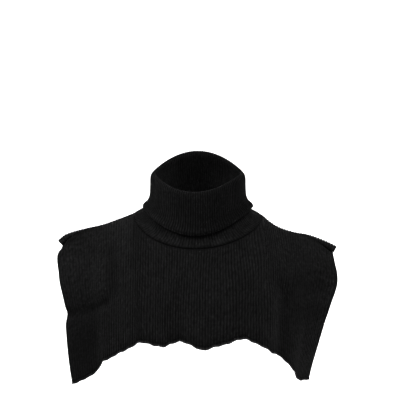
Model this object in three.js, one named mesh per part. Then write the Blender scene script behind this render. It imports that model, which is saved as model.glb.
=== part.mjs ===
// A turtleneck dickey: a folded roll collar sewn to a front bib and a back bib, all of rib knit.
// Millimetres. +Z is up, the front faces -Y and +X is to the right of someone who faces the front.
// The origin is the middle of the neck opening, level with the neck points at the shoulders.
import * as THREE from "three";

// The cloth
const WALL = 2.4; // thickness of the knit
const SEAM_GAP = 0.3; // clearance between two pieces that are sewn together

// The neckline and the collar
const NECK_HALF_WIDTH = 86; // from the middle to a neck point
const NECK_FRONT = 85; // from the middle to the front of the neckline
const NECK_BACK = 65; // from the middle to the back of the neckline
const COLLAR_HEIGHT = 60; // from the neck points up to the fold at the sides
const NECKLINE_LEAN = 4; // how much higher the front neckline is on the right than on the left
const RIGHT_NECK_DROP = 3; // how much lower the right neck point is than the left one

// The bibs
const BIB_HALF_WIDTH = 187; // from the middle to a side edge
const BIB_DEPTH = 110; // from the shoulders forward to the hem of the front bib
const BIB_DROP = 160; // from the neck points down to the hem at the middle
const SHOULDER_REACH = 50; // how far the cloth runs forward beside the neck before it turns down

// How finely the faces are laid out
const AROUND_HALF = 24; // steps round half the neckline
const SHOULDER_STEPS = 12; // steps along one shoulder
const COLLAR_STEPS = 22; // steps along the collar, from its seam to its free edge
const FRONT_STEPS = 18; // steps down the front bib
const BACK_STEPS = 16; // steps down the back bib

// The rings of the collar tube, from the neckline seam up over the fold and down to the free edge.
// Half widths are shares of NECK_HALF_WIDTH, reaches of NECK_FRONT and NECK_BACK, heights of COLLAR_HEIGHT.
// A larger dip makes the front and the back of the ring rounder.
const RINGS = [
  { along: 0.0, side: 1.0, front: 1.0, back: 1.0, sideUp: 0.02, frontUp: -0.567, backUp: 0.2, dip: 1.3 },
  { along: 0.1, side: 0.85, front: 0.953, back: 0.87, sideUp: 0.075, frontUp: -0.41, backUp: 0.33, dip: 1.4 },
  { along: 0.205, side: 0.73, front: 0.885, back: 0.76, sideUp: 0.27, frontUp: -0.18, backUp: 0.55, dip: 1.6 },
  { along: 0.31, side: 0.66, front: 0.841, back: 0.67, sideUp: 0.5, frontUp: 0.1, backUp: 0.8, dip: 1.8 },
  { along: 0.42, side: 0.635, front: 0.841, back: 0.58, sideUp: 0.75, frontUp: 0.367, backUp: 1.067, dip: 2.0 },
  { along: 0.5, side: 0.645, front: 0.865, back: 0.53, sideUp: 0.917, frontUp: 0.567, backUp: 1.283, dip: 2.0 },
  { along: 0.555, side: 0.68, front: 0.915, back: 0.57, sideUp: 0.98, frontUp: 0.635, backUp: 1.38, dip: 2.0 },
  { along: 0.61, side: 0.715, front: 0.965, back: 0.63, sideUp: 0.9, frontUp: 0.555, backUp: 1.3, dip: 2.0 },
  { along: 0.7, side: 0.722, front: 0.97, back: 0.7, sideUp: 0.7, frontUp: 0.333, backUp: 1.067, dip: 2.0 },
  { along: 0.81, side: 0.732, front: 0.958, back: 0.79, sideUp: 0.48, frontUp: 0.067, backUp: 0.8, dip: 2.1 },
  { along: 0.905, side: 0.772, front: 0.965, back: 0.885, sideUp: 0.34, frontUp: -0.133, backUp: 0.57, dip: 2.2 },
  { along: 0.96, side: 0.832, front: 0.987, back: 0.96, sideUp: 0.262, frontUp: -0.22, backUp: 0.487, dip: 2.2 },
  { along: 1.0, side: 0.844, front: 0.968, back: 0.98, sideUp: 0.2, frontUp: -0.29, backUp: 0.42, dip: 2.2 },
];

// The shoulder seams, from a neck point (0) out to the end of the seam (1).
// Out is a share of what BIB_HALF_WIDTH has beyond NECK_HALF_WIDTH, forward of BIB_DEPTH, drop of BIB_DROP.
const LEFT_SHOULDER = [
  { along: 0.0, out: 0.0, forward: 0.0, drop: 0.0 },
  { along: 0.2, out: 0.188, forward: 0.018, drop: 0.042 },
  { along: 0.4, out: 0.386, forward: 0.036, drop: 0.088 },
  { along: 0.65, out: 0.634, forward: 0.064, drop: 0.132 },
  { along: 0.87, out: 0.832, forward: 0.1, drop: 0.188 },
  { along: 1.0, out: 0.916, forward: 0.127, drop: 0.25 },
];
const RIGHT_SHOULDER = [
  { along: 0.0, out: 0.0, forward: 0.0, drop: 0.0 },
  { along: 0.12, out: 0.09, forward: 0.01, drop: 0.046 },
  { along: 0.25, out: 0.2, forward: 0.022, drop: 0.09 },
  { along: 0.42, out: 0.38, forward: 0.038, drop: 0.131 },
  { along: 0.65, out: 0.6, forward: 0.064, drop: 0.166 },
  { along: 0.87, out: 0.79, forward: 0.1, drop: 0.232 },
  { along: 1.0, out: 0.91, forward: 0.127, drop: 0.286 },
];

// The hems, from the left side edge to the right one, with a row for each flute.
// Across is where the row lies in the flat cloth, from -1 to 1.
// Out is a share of BIB_HALF_WIDTH, depth of BIB_DEPTH and drop of BIB_DROP.
const FRONT_HEM = [
  { across: -1.0, out: -0.887, depth: 0.364, drop: 1.378 },
  { across: -0.87, out: -0.781, depth: 0.518, drop: 1.314 },
  { across: -0.78, out: -0.7, depth: 0.618, drop: 1.233 },
  { across: -0.73, out: -0.67, depth: 0.674, drop: 1.182 },
  { across: -0.69, out: -0.651, depth: 0.714, drop: 1.139 },
  { across: -0.64, out: -0.611, depth: 0.761, drop: 1.113 },
  { across: -0.53, out: -0.518, depth: 0.86, drop: 1.046 },
  { across: -0.44, out: -0.438, depth: 0.921, drop: 0.981 },
  { across: -0.38, out: -0.389, depth: 0.942, drop: 0.956 },
  { across: -0.29, out: -0.293, depth: 0.987, drop: 0.974 },
  { across: -0.22, out: -0.231, depth: 1.024, drop: 0.984 },
  { across: -0.165, out: -0.183, depth: 1.006, drop: 0.955 },
  { across: -0.105, out: -0.122, depth: 0.984, drop: 0.937 },
  { across: -0.03, out: -0.047, depth: 1.021, drop: 0.969 },
  { across: 0.05, out: 0.035, depth: 1.059, drop: 1.002 },
  { across: 0.14, out: 0.13, depth: 1.031, drop: 0.976 },
  { across: 0.31, out: 0.308, depth: 0.962, drop: 0.929 },
  { across: 0.42, out: 0.411, depth: 0.938, drop: 0.972 },
  { across: 0.52, out: 0.495, depth: 0.873, drop: 1.041 },
  { across: 0.59, out: 0.558, depth: 0.814, drop: 1.076 },
  { across: 0.67, out: 0.61, depth: 0.731, drop: 1.14 },
  { across: 0.76, out: 0.662, depth: 0.613, drop: 1.231 },
  { across: 0.84, out: 0.691, depth: 0.499, drop: 1.314 },
  { across: 1.0, out: 0.784, depth: 0.273, drop: 1.358 },
];
const BACK_HEM = [
  { across: -1.0, out: -0.845, depth: 0.327, drop: 1.225 },
  { across: -0.72, out: -0.706, depth: 0.6, drop: 1.163 },
  { across: -0.45, out: -0.471, depth: 0.8, drop: 1.05 },
  { across: -0.2, out: -0.214, depth: 0.882, drop: 1.006 },
  { across: 0.0, out: 0.0, depth: 0.855, drop: 1.019 },
  { across: 0.2, out: 0.214, depth: 0.891, drop: 1.006 },
  { across: 0.45, out: 0.46, depth: 0.8, drop: 1.044 },
  { across: 0.72, out: 0.631, depth: 0.6, drop: 1.137 },
  { across: 1.0, out: 0.749, depth: 0.327, drop: 1.2 },
];

// How a column of knit starts at the top, by its place across from the middle (0) to a side edge (1).
// Out, away and down are its first run, in shares of SHOULDER_REACH. Inside the neckline a column
// starts above the neck points, by a rise in shares of BIB_DROP, and the neckline cuts it off.
const FRONT_TOP = [
  { across: 0.0, rise: 0.11, out: 0.0, away: 0.98, down: 0.04 },
  { across: 0.25, rise: 0.07, out: 0.0, away: 0.94, down: 0.08 },
  { across: 0.46, rise: 0.0, out: 0.0, away: 0.84, down: 0.16 },
  { across: 0.62, rise: 0.0, out: 0.0, away: 0.78, down: 0.3 },
  { across: 0.78, rise: 0.0, out: 0.0, away: 0.6, down: 0.44 },
  { across: 1.0, rise: 0.0, out: 0.2, away: 0.26, down: 0.5 },
];
const BACK_TOP = [
  { across: 0.0, rise: 0.14, out: 0.0, away: 1.3, down: -0.46 },
  { across: 0.25, rise: 0.09, out: 0.0, away: 1.2, down: -0.4 },
  { across: 0.46, rise: 0.0, out: 0.0, away: 0.92, down: -0.1 },
  { across: 0.62, rise: 0.0, out: 0.02, away: 0.86, down: -0.12 },
  { across: 0.8, rise: 0.0, out: 0.12, away: 0.68, down: -0.34 },
  { across: 1.0, rise: 0.0, out: 0.48, away: 0.3, down: -0.74 },
];

// How a column of knit comes to the hem, by its place across from the left edge (-1) to the right (1).
// Out and inward are shares of BIB_HALF_WIDTH and BIB_DEPTH, and up is a share of BIB_DROP.
const FRONT_BOTTOM = [
  { across: -1.0, out: 0.022, inward: -0.036, up: 0.41 },
  { across: -0.72, out: 0.005, inward: 0.055, up: 0.45 },
  { across: -0.45, out: -0.005, inward: 0.055, up: 0.58 },
  { across: -0.25, out: 0.0, inward: 0.06, up: 0.52 },
  { across: 0.0, out: 0.0, inward: 0.07, up: 0.53 },
  { across: 0.25, out: 0.0, inward: 0.06, up: 0.52 },
  { across: 0.45, out: 0.0, inward: 0.055, up: 0.58 },
  { across: 0.72, out: 0.04, inward: 0.055, up: 0.45 },
  { across: 1.0, out: 0.13, inward: -0.06, up: 0.5 },
];
const BACK_BOTTOM = [
  { across: -1.0, out: 0.07, inward: -0.04, up: 0.37 },
  { across: -0.72, out: 0.03, inward: -0.05, up: 0.5 },
  { across: -0.45, out: 0.0, inward: 0.04, up: 0.8 },
  { across: -0.25, out: 0.0, inward: -0.01, up: 0.96 },
  { across: 0.0, out: 0.0, inward: -0.04, up: 1.0 },
  { across: 0.25, out: 0.0, inward: -0.01, up: 0.96 },
  { across: 0.45, out: 0.0, inward: 0.04, up: 0.8 },
  { across: 0.72, out: 0.04, inward: -0.05, up: 0.5 },
  { across: 1.0, out: 0.12, inward: -0.04, up: 0.37 },
];

// How far the side edges swing out from their plain curves, by the place down them.
// Left and right are shares of BIB_HALF_WIDTH, outwards.
const FRONT_SIDES = [
  { down: 0.0, left: 0.0, right: 0.0 },
  { down: 0.06, left: 0.002, right: -0.003 },
  { down: 0.11, left: 0.02, right: -0.002 },
  { down: 0.17, left: 0.021, right: 0.002 },
  { down: 0.22, left: 0.0155, right: 0.01 },
  { down: 0.28, left: 0.0085, right: 0.018 },
  { down: 0.35, left: 0.004, right: 0.023 },
  { down: 0.42, left: -0.005, right: 0.018 },
  { down: 0.5, left: -0.012, right: 0.006 },
  { down: 0.57, left: -0.009, right: -0.001 },
  { down: 0.65, left: 0.001, right: -0.008 },
  { down: 0.8, left: 0.009, right: -0.01 },
  { down: 0.92, left: 0.007, right: -0.008 },
  { down: 1.0, left: 0.0, right: 0.0 },
];
const BACK_SIDES = [
  { down: 0.0, left: 0.0, right: 0.0 },
  { down: 0.12, left: 0.0, right: 0.0 },
  { down: 0.19, left: -0.011, right: -0.01 },
  { down: 0.25, left: -0.034, right: -0.016 },
  { down: 0.31, left: -0.055, right: -0.027 },
  { down: 0.38, left: -0.044, right: -0.018 },
  { down: 0.5, left: -0.025, right: -0.004 },
  { down: 0.62, left: -0.01, right: 0.0 },
  { down: 1.0, left: 0.0, right: 0.0 },
];
const SIDE_ZONE = 0.78; // the cloth that swings along starts at this place across

// Folds and dents. Each runs from its first place to its second, across (-1 to 1) and down (0 to 1),
// and pushes the cloth out by a share of BIB_DEPTH over a width in shares of BIB_HALF_WIDTH.
const FRONT_FOLDS = [
  { from: [-0.95, 0.36], to: [-0.7, 0.5], width: 0.1, push: 0.025 },
  { from: [-1.0, 0.56], to: [-0.66, 0.665], width: 0.03, push: -0.045 },
  { from: [-0.62, 0.35], to: [-0.59, 0.66], width: 0.045, push: -0.024 },
  { from: [0.52, 0.72], to: [0.49, 1.0], width: 0.06, push: 0.04 },
  { from: [0.63, 0.62], to: [0.61, 1.0], width: 0.07, push: -0.045 },
  { from: [0.9, 0.44], to: [0.62, 0.56], width: 0.06, push: -0.022 },
];
const BACK_FOLDS = [
  { from: [-0.6, 0.5], to: [-0.55, 1.0], width: 0.1, push: 0.04 },
  { from: [0.35, 0.45], to: [0.4, 1.0], width: 0.1, push: 0.035 },
];

// Reads a column of a table at any place, on a smooth curve through its rows.
function readSmooth(rows, by, name, place) {
  const last = rows.length - 1;
  const at = Math.min(Math.max(place, rows[0][by]), rows[last][by]);
  let i = 0;
  while (i < last - 1 && at > rows[i + 1][by]) i += 1;
  const slope = (k) => {
    const a = Math.max(k - 1, 0);
    const b = Math.min(k + 1, last);
    return (rows[b][name] - rows[a][name]) / (rows[b][by] - rows[a][by]);
  };
  const span = rows[i + 1][by] - rows[i][by];
  const t = (at - rows[i][by]) / span;
  const start = (2 * t * t * t - 3 * t * t + 1) * rows[i][name];
  const end = (3 * t * t - 2 * t * t * t) * rows[i + 1][name];
  const startSlope = (t * t * t - 2 * t * t + t) * span * slope(i);
  const endSlope = (t * t * t - t * t) * span * slope(i + 1);
  return start + end + startSlope + endSlope;
}

// A point of the collar's middle surface: along the tube from the seam, and round it by an angle
// that is 0 at the right neck point and 90 degrees at the front.
function collarPoint(along, angle) {
  const read = (name) => readSmooth(RINGS, "along", name, along);
  const side = read("side") * NECK_HALF_WIDTH;
  const front = -read("front") * NECK_FRONT;
  const back = read("back") * NECK_BACK;
  const sideUp = read("sideUp") * COLLAR_HEIGHT;
  const endUp = read(Math.sin(angle) >= 0 ? "frontUp" : "backUp") * COLLAR_HEIGHT;
  const reach = Math.abs(Math.sin(angle));
  const lean = Math.sin(angle) > 0 ? NECKLINE_LEAN * Math.sin(angle) * Math.cos(angle) : 0;
  const drop = RIGHT_NECK_DROP * (((1 + Math.cos(angle)) / 2) * (1 - along)) ** 2;
  return new THREE.Vector3(
    side * Math.cos(angle),
    (front + back) / 2 - ((back - front) / 2) * Math.sin(angle),
    sideUp + (endUp - sideUp) * Math.pow(reach, read("dip")) + lean - drop,
  );
}

// The neckline seam at an angle: its point, the way along it, the way out of the collar and the outer side.
function necklineFrame(angle) {
  const step = 0.001;
  const point = collarPoint(0, angle);
  const away = point.clone().sub(collarPoint(0.03, angle));
  const tangent = collarPoint(0, angle + step).sub(collarPoint(0, angle - step)).normalize();
  const outer = tangent.clone().cross(away).normalize();
  const out = outer.clone().cross(tangent).normalize();
  return { point, tangent, out, outer };
}

// A point of a shoulder seam, which starts at the collar's neck point. Hand is -1 left and 1 right.
function shoulderPoint(hand, along) {
  const rows = hand < 0 ? LEFT_SHOULDER : RIGHT_SHOULDER;
  const read = (name) => readSmooth(rows, "along", name, along);
  const neckPoint = collarPoint(0, hand < 0 ? Math.PI : 0);
  return new THREE.Vector3(
    neckPoint.x + hand * read("out") * (BIB_HALF_WIDTH - NECK_HALF_WIDTH),
    neckPoint.y - read("forward") * BIB_DEPTH,
    neckPoint.z - read("drop") * BIB_DROP,
  );
}

// How far and which way a column of knit first runs at its top. Face is -1 front and 1 back.
function topRun(face, across) {
  const rows = face < 0 ? FRONT_TOP : BACK_TOP;
  const read = (name) => readSmooth(rows, "across", name, Math.abs(across)) * SHOULDER_REACH;
  return new THREE.Vector3(Math.sign(across) * read("out"), face * read("away"), -read("down"));
}

// Where a place along a shoulder seam lies across the bib.
function shoulderAcross(hand, along) {
  const neckShare = NECK_HALF_WIDTH / BIB_HALF_WIDTH;
  return hand * (neckShare + (1 - neckShare) * along);
}

// The shoulder seam at a place: its point, the way towards the back bib and the outer side.
function shoulderFrame(hand, along) {
  const step = 0.001;
  const point = shoulderPoint(hand, along);
  const tangent = shoulderPoint(hand, Math.min(along + step, 1))
    .sub(shoulderPoint(hand, Math.max(along - step, 0)))
    .normalize();
  const towardsBack = topRun(1, shoulderAcross(hand, along)).normalize();
  const towardsFront = topRun(-1, shoulderAcross(hand, along)).normalize();
  const outer = tangent.clone().cross(towardsBack.sub(towardsFront)).multiplyScalar(hand).normalize();
  const neckOuter = necklineFrame(hand < 0 ? Math.PI : 0).outer;
  outer.lerp(neckOuter, 1 - THREE.MathUtils.smoothstep(along, 0, 0.15)).normalize();
  const back = outer.clone().cross(tangent).multiplyScalar(hand).normalize();
  return { point, back, outer };
}

// The whole curve of a column of knit, from its top to its hem.
function columnCurve(face, across, top) {
  const { end, above } = hemEnd(face, across);
  return new THREE.CubicBezierCurve3(top, top.clone().add(topRun(face, across)), above, end);
}

// A column that starts at a shoulder seam.
function shoulderColumn(face, hand, along) {
  const { point, back, outer } = shoulderFrame(hand, along);
  const across = shoulderAcross(hand, along);
  const top = point.addScaledVector(back, (face * SEAM_GAP) / 2);
  return { across, outer, start: 0, shift: new THREE.Vector3(), curve: columnCurve(face, across, top) };
}

// A column that the neckline cuts off. Turn is 0 at a neck point and 90 degrees in the middle.
// What the curve lacks to meet the neckline is given back to it by a shift that fades down to the hem.
function neckColumn(face, hand, turn) {
  const neckPoint = collarPoint(0, hand < 0 ? Math.PI : 0);
  const across = (hand * Math.cos(turn) * NECK_HALF_WIDTH) / BIB_HALF_WIDTH;
  const rise = readSmooth(face < 0 ? FRONT_TOP : BACK_TOP, "across", "rise", Math.abs(across)) * BIB_DROP;
  const aboveNeck = new THREE.Vector3(across * BIB_HALF_WIDTH, neckPoint.y, neckPoint.z + rise);
  const curve = columnCurve(face, across, aboveNeck);
  const { point, out, outer } = necklineFrame(-face * (hand < 0 ? Math.PI - turn : turn));
  const top = point.addScaledVector(out, SEAM_GAP);
  let start = 0;
  for (let step = 0.4; step > 1e-6; step /= 2) {
    const next = curve.getPoint(start + step);
    if ((top.y - next.y) * face > 0) start += step;
  }
  return { across, outer, start, shift: top.sub(curve.getPoint(start)), curve };
}

// The columns of a bib, from its left side edge to its right one.
function bibColumns(face) {
  const cornerTurn = SEAM_GAP / (NECK_FRONT + NECK_BACK);
  const half = AROUND_HALF / 2;
  const columns = [];
  for (let i = SHOULDER_STEPS; i > 0; i -= 1) columns.push(shoulderColumn(face, -1, i / SHOULDER_STEPS));
  for (let i = 0; i <= half; i += 1) {
    columns.push(neckColumn(face, -1, Math.max((i / half) * (Math.PI / 2), cornerTurn)));
  }
  for (let i = half - 1; i >= 0; i -= 1) {
    columns.push(neckColumn(face, 1, Math.max((i / half) * (Math.PI / 2), cornerTurn)));
  }
  for (let i = 1; i <= SHOULDER_STEPS; i += 1) columns.push(shoulderColumn(face, 1, i / SHOULDER_STEPS));
  return columns;
}

// The bottom of a column: its point on the hem, and the last control point of its curve above that.
function hemEnd(face, across) {
  const hem = (name) => readSmooth(face < 0 ? FRONT_HEM : BACK_HEM, "across", name, across);
  const run = (name) => readSmooth(face < 0 ? FRONT_BOTTOM : BACK_BOTTOM, "across", name, across);
  const end = new THREE.Vector3(
    hem("out") * BIB_HALF_WIDTH,
    face * hem("depth") * BIB_DEPTH,
    -hem("drop") * BIB_DROP,
  );
  const above = new THREE.Vector3(
    Math.sign(across) * run("out") * BIB_HALF_WIDTH,
    -face * run("inward") * BIB_DEPTH,
    run("up") * BIB_DROP,
  ).add(end);
  return { end, above };
}

// How far the cloth near a side edge swings out at a place across and down.
function sideSwing(face, across, down) {
  const reach = readSmooth(face < 0 ? FRONT_SIDES : BACK_SIDES, "down", across < 0 ? "left" : "right", down);
  return Math.sign(across) * reach * BIB_HALF_WIDTH * THREE.MathUtils.smoothstep(Math.abs(across), SIDE_ZONE, 1);
}

// How far the folds push the cloth out at a place across and down.
function foldPush(folds, across, down) {
  const tall = BIB_DROP / BIB_HALF_WIDTH;
  let push = 0;
  for (const fold of folds) {
    const runAcross = fold.to[0] - fold.from[0];
    const runDown = (fold.to[1] - fold.from[1]) * tall;
    const toAcross = across - fold.from[0];
    const toDown = (down - fold.from[1]) * tall;
    const length = runAcross * runAcross + runDown * runDown;
    const share = THREE.MathUtils.clamp((toAcross * runAcross + toDown * runDown) / length, 0, 1);
    const apart = Math.hypot(toAcross - share * runAcross, toDown - share * runDown);
    push += fold.push * BIB_DEPTH * Math.exp(-((apart / fold.width) ** 2));
  }
  return push * THREE.MathUtils.smoothstep(down, 0, 0.3);
}

// The outer side of a grid of points at each of its points, from the faces that meet there.
function gridNormals(grid, closed, sign) {
  const normals = grid.map((line) => line.map(() => new THREE.Vector3()));
  const lines = closed ? grid.length : grid.length - 1;
  for (let i = 0; i < lines; i += 1) {
    const k = (i + 1) % grid.length;
    for (let j = 0; j < grid[0].length - 1; j += 1) {
      const across = grid[k][j + 1].clone().sub(grid[i][j]);
      const other = grid[i][j + 1].clone().sub(grid[k][j]);
      const normal = other.cross(across).multiplyScalar(sign);
      for (const corner of [normals[i][j], normals[k][j], normals[i][j + 1], normals[k][j + 1]]) {
        corner.add(normal);
      }
    }
  }
  for (const line of normals) {
    for (const normal of line) normal.normalize();
  }
  return normals;
}

// A closed wall of the cloth's thickness round a grid of points. Sign is 1 where the outer side is
// (down the grid) x (across the grid), and -1 where it is the other way.
function clothWall(grid, normals, closed, sign) {
  const rows = grid[0].length;
  const position = [];
  const index = [];
  for (const side of [0.5, -0.5]) {
    grid.forEach((line, i) => {
      line.forEach((point, j) => {
        position.push(...point.clone().addScaledVector(normals[i][j], side * WALL).toArray());
      });
    });
  }
  const outer = (i, j) => (i % grid.length) * rows + j;
  const inner = (i, j) => grid.length * rows + outer(i, j);
  const face = (a, b, c, d) => {
    if (sign > 0) index.push(a, b, c, a, c, d);
    else index.push(a, c, b, a, d, c);
  };
  const lines = closed ? grid.length : grid.length - 1;
  for (let i = 0; i < lines; i += 1) {
    for (let j = 0; j < rows - 1; j += 1) {
      face(outer(i, j), outer(i, j + 1), outer(i + 1, j + 1), outer(i + 1, j));
      face(inner(i, j), inner(i + 1, j), inner(i + 1, j + 1), inner(i, j + 1));
    }
    face(inner(i, 0), outer(i, 0), outer(i + 1, 0), inner(i + 1, 0));
    face(outer(i, rows - 1), inner(i, rows - 1), inner(i + 1, rows - 1), outer(i + 1, rows - 1));
  }
  if (!closed) {
    const end = grid.length - 1;
    for (let j = 0; j < rows - 1; j += 1) {
      face(inner(0, j), inner(0, j + 1), outer(0, j + 1), outer(0, j));
      face(outer(end, j), outer(end, j + 1), inner(end, j + 1), inner(end, j));
    }
  }
  const geometry = new THREE.BufferGeometry();
  geometry.setAttribute("position", new THREE.Float32BufferAttribute(position, 3));
  geometry.setIndex(index);
  geometry.computeVertexNormals();
  return geometry;
}

function namedPiece(name, geometry) {
  const knit = new THREE.MeshStandardMaterial({ color: 0x161616, roughness: 0.95 });
  const mesh = new THREE.Mesh(geometry, knit);
  mesh.name = name;
  return mesh;
}

// A bib: each column of knit is one curve from its top down to the hem, then the folds are pushed in.
function makeBib(name, face, steps, folds) {
  const columns = bibColumns(face);
  const plain = columns.map(({ across, start, shift, curve }) =>
    Array.from({ length: steps + 1 }, (_, j) => {
      const down = j / steps;
      const point = curve.getPoint(start + (1 - start) * down).addScaledVector(shift, (1 - down) ** 2);
      point.x += sideSwing(face, across, down);
      return point;
    }),
  );
  const sign = -face;
  const plainNormals = gridNormals(plain, false, sign);
  const grid = plain.map((line, i) =>
    line.map((point, j) => {
      const push = foldPush(folds, columns[i].across, j / steps);
      return point.clone().addScaledVector(plainNormals[i][j], push);
    }),
  );
  const normals = gridNormals(grid, false, sign);
  columns.forEach((column, i) => normals[i][0].copy(column.outer));
  return namedPiece(name, clothWall(grid, normals, false, sign));
}

// The collar: one tube from the neckline seam up, over its fold and down to its free edge.
function makeCollar() {
  const around = 2 * AROUND_HALF;
  const grid = [];
  for (let i = 0; i < around; i += 1) {
    const angle = (i / around) * 2 * Math.PI;
    grid.push(Array.from({ length: COLLAR_STEPS + 1 }, (_, j) => collarPoint(j / COLLAR_STEPS, angle)));
  }
  const normals = gridNormals(grid, true, 1);
  normals.forEach((line, i) => line[0].copy(necklineFrame((i / around) * 2 * Math.PI).outer));
  return namedPiece("roll_collar", clothWall(grid, normals, true, 1));
}

const dickey = new THREE.Group();
dickey.name = "turtleneck_dickey";
dickey.add(makeBib("front_bib", -1, FRONT_STEPS, FRONT_FOLDS));
dickey.add(makeBib("back_bib", 1, BACK_STEPS, BACK_FOLDS));
dickey.add(makeCollar());

export default dickey;
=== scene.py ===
"""A turtleneck dickey in black rib knit: a folded roll collar, a front bib and a back bib.

The shapes follow the CAD solids, from the same named sizes and tables. Sizes are in millimetres, the tables
hold shares of them, and every knit mesh is scaled to metres when it is made. The camera's distance, the floor
and the lights are in metres from the start.
"""
import math

import bpy
import numpy as np
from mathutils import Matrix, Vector


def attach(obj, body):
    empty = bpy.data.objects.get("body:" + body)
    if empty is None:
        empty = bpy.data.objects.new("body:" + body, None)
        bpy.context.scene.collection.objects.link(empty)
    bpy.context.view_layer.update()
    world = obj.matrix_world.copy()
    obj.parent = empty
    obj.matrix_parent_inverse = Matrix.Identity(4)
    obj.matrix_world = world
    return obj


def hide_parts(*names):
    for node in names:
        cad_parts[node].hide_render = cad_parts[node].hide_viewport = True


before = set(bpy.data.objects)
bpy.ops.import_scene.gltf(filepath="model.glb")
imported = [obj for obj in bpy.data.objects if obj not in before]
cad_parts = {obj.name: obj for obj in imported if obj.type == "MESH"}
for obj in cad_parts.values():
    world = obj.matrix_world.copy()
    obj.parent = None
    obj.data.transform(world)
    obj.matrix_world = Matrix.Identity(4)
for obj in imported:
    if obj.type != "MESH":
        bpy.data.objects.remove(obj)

MM = 0.001
TAU = 2 * math.pi
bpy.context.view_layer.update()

# The camera: where it looks, from how far and how high, how many millimetres a pixel shows there, and how
# many pixels wide the picture is.
LOOK_AT = Vector((2.7, 0.0, 20.0)) * MM
CAMERA_DISTANCE = 2.2
CAMERA_ELEVATION = math.radians(6.0)
MM_PER_PIXEL = 1.33
PICTURE = 400

# The cloth's wall and the sizes of the pieces, as in the solids. In front the neckline leans to one side by
# NECKLINE_LEAN, and the right neck point lies lower than the left one by RIGHT_NECK_DROP.
WALL = 2.4
NECK_HALF_WIDTH = 86
NECK_FRONT = 85
NECK_BACK = 65
COLLAR_HEIGHT = 60
NECKLINE_LEAN = 4
RIGHT_NECK_DROP = 3
BIB_HALF_WIDTH = 187
BIB_DEPTH = 110
BIB_DROP = 160
SHOULDER_REACH = 50

# The knit: a rib's width on the bibs, how many ribs go round the collar, how far a rib stands out, by what
# share and how fast that changes, how full its round top is (less is fuller), what is left of the wall under
# the ribs, how high one stitch is and how many points go across a rib.
RIB_PITCH = 3.42
COLLAR_RIBS = 126
RIB_DEPTH = 0.5
RIB_CHANGE = 0.3
RIB_CHANGE_PACE = 1.7
RIB_TOP = 0.8
WALL_LEFT = WALL - RIB_DEPTH
STITCH_HEIGHT = 1.7
BIB_SAMPLES = 6
COLLAR_SAMPLES = 5

# How true the ribs run: how many ribs' widths they wander by, how far those right of the neck drift outward
# down the front, where across that sets in and dies out again and where on the way down it sets in, and how
# much flatter the ribs lie at the front's sides, and where across that sets in.
RIB_WANDER = 0.2
RIB_DRIFT = 6.5
DRIFT_IN = (0.05, 0.5)
DRIFT_OUT = (0.6, 1.0)
DRIFT_DOWN = (0.0, 0.55)
FLAT_SIDES = 0.45
FLAT_IN = (0.5, 0.85)

# Over which distance the ribs rise to their full height from a seam, and from a free edge.
SEAM_RISE = (0.5, 2.0)
EDGE_RISE = (0.0, 1.5)

# How many rows of points go down each piece, and the length of the collar tube down its front.
FRONT_ROWS = 56
BACK_ROWS = 50
COLLAR_ROWS = 52
COLLAR_LENGTH = 145.0

# Distances from an edge at which rows or columns of points lie: over its rounding, whose radius is the last
# of EDGE_STEPS, and on over the welt of a hem or the last of the collar before its free edge.
EDGE_STEPS = np.array([0.0, 0.12, 0.45, 1.1])
HEM_STEPS = np.concatenate([EDGE_STEPS, np.arange(1.8, 8.0, 0.7)])
FREE_EDGE_STEPS = np.concatenate([EDGE_STEPS, np.arange(1.8, 6.5, 0.7)])

# The seams: how far a bib's top reaches past the neckline (and half as far past a shoulder seam), so that no
# light shows through, how far the neckline seam pinches the cloth in, how wide the pinch is and how much its
# tightness adds to that, and its tightness along the shoulders and at their tips, which start at TIP_ZONE.
SEAM_LAP = 0.9
SEAM_PINCH = 1.2
PINCH_WIDTH = 0.9
PINCH_SPREAD = 0.5
SHOULDER_TIGHTNESS = 0.25
TIP_TIGHTNESS = 2.2
TIP_ZONE = (0.88, 0.97)

# The hems: how far they curl out, how high above them the welt line lies, how deep and wide it is, how ragged
# the hem's own line is, how fast it wanders and from where on the way down the knit is drawn out for it.
HEM_CURL = 1.6
WELT = 4.2
WELT_GROOVE = 0.5
GROOVE_WIDTH = 0.7
HEM_RAGGED = 1.1
RAGGED_PACE = 2.2
RAGGED_FROM = 0.85

# Painted light and shade on the knit where it isn't plain. At a hem, painted highlights lie on the lip and on
# the uneven band under the welt, painted shade lies along the welt line, and the strip above it is darker. A
# seam gets painted shade too, and so does a crease, while a ridge gets a painted highlight, by their push as
# a share of the bib's depth. The widths are in millimetres.
LIP_PAINTED_HIGHLIGHT = 8.0
LIP_WIDTH = 1.5
BAND_PAINTED_HIGHLIGHT = 0.3
BAND_PACE = 0.6
WELT_SHADE = 0.4
WELT_SHADE_WIDTH = 1.0
STRIP_SHADE = 0.22
STRIP_WIDTH = 4.0
SEAM_SHADE = 0.9
SEAM_SHADE_WIDTH = 2.2
CREASE_SHADE = 4.0

# The collar's painted light and shade and the contrast of the painted shade in its ribs, on the stand and on
# the turn-down, which is painted darker as if in shade, where along the tube the one gives way to the other,
# and how much painted shade darkens the turn-down from the left to the right.
STAND_PAINTED_LIGHT = 1.02
STAND_CONTRAST = 1.1
TURN_DOWN_PAINTED_SHADE = 0.64
TURN_DOWN_CONTRAST = 3.0
TURN_ZONE = (0.3, 0.5)
LEFT_TO_RIGHT_PAINTED_SHADE = 0.7

# The knit's colour and how it takes light.
KNIT_BLACK = (0.006, 0.006, 0.0061)
KNIT_SURFACE = {
    "Roughness": 0.9,
    "Specular IOR Level": 0.05,
    "Sheen Weight": 0.035,
    "Sheen Roughness": 0.4,
    "Sheen Tint": (0.8, 0.8, 0.82, 1.0),
}
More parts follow.
